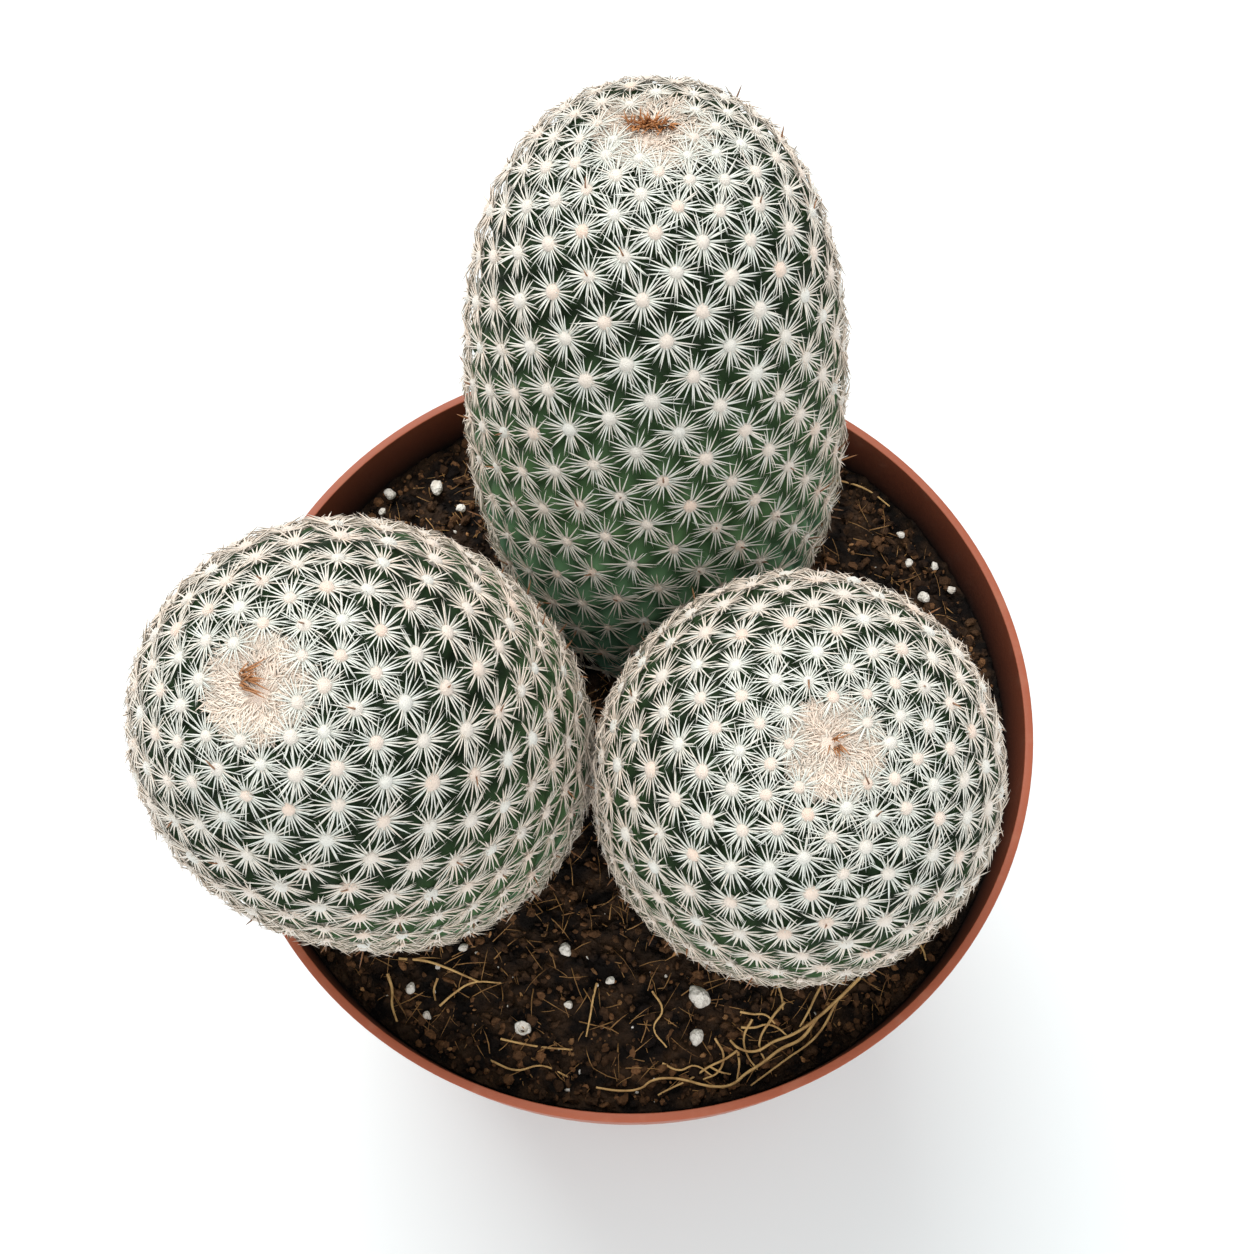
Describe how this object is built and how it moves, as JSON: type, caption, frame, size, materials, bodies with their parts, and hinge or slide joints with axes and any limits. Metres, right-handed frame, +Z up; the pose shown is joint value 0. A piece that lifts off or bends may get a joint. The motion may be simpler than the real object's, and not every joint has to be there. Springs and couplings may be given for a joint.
{
  "type": "potted round cactus",
  "caption": "Round white-spined cacti growing together in a thin tapered nursery pot of terracotta-coloured plastic, on dark peat with perlite grains and dry roots.",
  "frame": {"origin": "centre of the pot's flat underside, on the surface that the pot stands on", "axes": "+Z up, -Y the front that faces the viewer, +X to the right seen from the front"},
  "size_m": [0.1219, 0.1305, 0.1794],
  "materials": {
    "pot_plastic": "thin moulded terracotta-coloured plastic, satin, with faint rings and scuffs",
    "peat": null,
    "cactus_skin": "dark green waxy skin on round tubercles, each with pale wool and a star of white spines",
    "perlite_white": "off-white foamed volcanic glass, matt and pitted",
    "dry_root": "dry golden-brown root fibre"
  },
  "bodies": {
    "root": {"pot": "pot_plastic", "soil": "peat", "cactus_back": "cactus_skin", "cactus_left": "cactus_skin", "cactus_right": "cactus_skin", "perlite_01": "perlite_white", "perlite_02": "perlite_white", "perlite_03": "perlite_white", "perlite_04": "perlite_white", "perlite_05": "perlite_white", "perlite_06": "perlite_white", "perlite_07": "perlite_white", "perlite_08": "perlite_white", "perlite_09": "perlite_white", "perlite_10": "perlite_white", "perlite_11": "perlite_white", "perlite_12": "perlite_white", "perlite_13": "perlite_white", "perlite_14": "perlite_white", "perlite_15": "perlite_white", "perlite_16": "perlite_white", "perlite_17": "perlite_white", "perlite_18": "perlite_white", "root_01": "dry_root", "root_02": "dry_root", "root_03": "dry_root", "root_04": "dry_root", "root_05": "dry_root", "root_06": "dry_root", "root_07": "dry_root", "root_08": "dry_root", "root_09": "dry_root", "root_10": "dry_root", "root_11": "dry_root", "root_12": "dry_root", "root_13": "dry_root", "root_14": "dry_root"}
  },
  "joints": []
}
